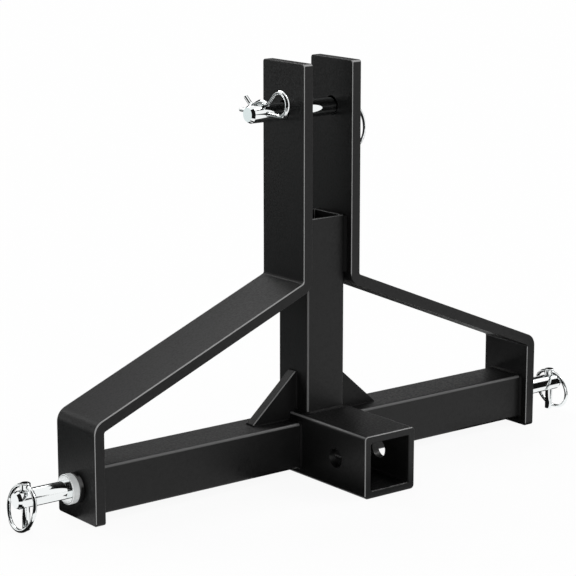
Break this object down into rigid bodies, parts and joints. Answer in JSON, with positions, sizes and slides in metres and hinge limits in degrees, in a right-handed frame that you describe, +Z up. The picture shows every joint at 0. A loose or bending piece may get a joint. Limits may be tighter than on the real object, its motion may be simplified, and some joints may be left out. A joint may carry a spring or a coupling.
{
  "type": "three point receiver hitch",
  "caption": "Welded A-frame hitch for a tractor's three point linkage, with a square receiver tube, a yoke for the top link, lower link pins and spring-clip retaining pins.",
  "frame": {"origin": "on the resting plane, under the crossbar's centre line and midway between the legs", "axes": "+X runs along the crossbar, -Y is the way the receiver opens, +Z is up the mast"},
  "size_m": [0.743, 0.169, 0.4413],
  "materials": {
    "frame_coating": "satin black powder coat",
    "bright_plating": "bright plated steel"
  },
  "bodies": {
    "frame": {"receiver_tube": "frame_coating", "mast_post": "frame_coating", "post_weld": "frame_coating", "left_frame_strap": "frame_coating", "left_crossbar": "frame_coating", "left_gusset": "frame_coating", "left_leg_weld": "frame_coating", "left_receiver_weld": "frame_coating", "left_gusset_weld": "frame_coating", "left_cheek_weld": "frame_coating", "left_lower_link_pin": "bright_plating", "left_pin_washer": "frame_coating", "left_pin_nut": "bright_plating", "right_frame_strap": "frame_coating", "right_crossbar": "frame_coating", "right_gusset": "frame_coating", "right_leg_weld": "frame_coating", "right_receiver_weld": "frame_coating", "right_gusset_weld": "frame_coating", "right_cheek_weld": "frame_coating", "right_lower_link_pin": "bright_plating", "right_pin_washer": "frame_coating", "right_pin_nut": "bright_plating"},
    "top_pin": {"top_link_pin": "bright_plating"},
    "top_ring": {"top_pin_ring": "bright_plating"},
    "cotter": {"hairpin_cotter": "bright_plating"},
    "left_linch": {"left_linch_pin": "bright_plating"},
    "left_ring": {"left_linch_ring": "bright_plating"},
    "right_linch": {"right_linch_pin": "bright_plating"},
    "right_ring": {"right_linch_ring": "bright_plating"}
  },
  "joints": [
    {"name": "top_pin_slide", "type": "slide", "parent": "frame", "child": "top_pin", "axis": [1, 0, 0], "range_m": [0, 0.025]},
    {"name": "top_ring_swing", "type": "hinge", "parent": "top_pin", "child": "top_ring", "pos_m": [0.052, 0, 0.39], "axis": [0, -1, 0], "range_deg": [-14, 190]},
    {"name": "cotter_pull", "type": "slide", "parent": "top_pin", "child": "cotter", "axis": [0, -1, 0], "range_m": [0, 0.05], "deforming": ["hairpin_cotter"]},
    {"name": "left_linch_lift", "type": "slide", "parent": "frame", "child": "left_linch", "axis": [0, 0, 1], "range_m": [0, 0.06]},
    {"name": "left_ring_swing", "type": "hinge", "parent": "left_linch", "child": "left_ring", "pos_m": [-0.3592, 0, 0.0463], "axis": [0, 1, 0], "range_deg": [0, 165.1]},
    {"name": "right_linch_lift", "type": "slide", "parent": "frame", "child": "right_linch", "axis": [0, 0, 1], "range_m": [0, 0.06]},
    {"name": "right_ring_swing", "type": "hinge", "parent": "right_linch", "child": "right_ring", "pos_m": [0.3592, 0, 0.0463], "axis": [0, -1, 0], "range_deg": [0, 165.1]}
  ],
  "couplings": [
    {"joint": "left_ring_swing", "follows": "left_linch_lift", "rad_per_m": 48},
    {"joint": "right_ring_swing", "follows": "right_linch_lift", "rad_per_m": 48}
  ]
}
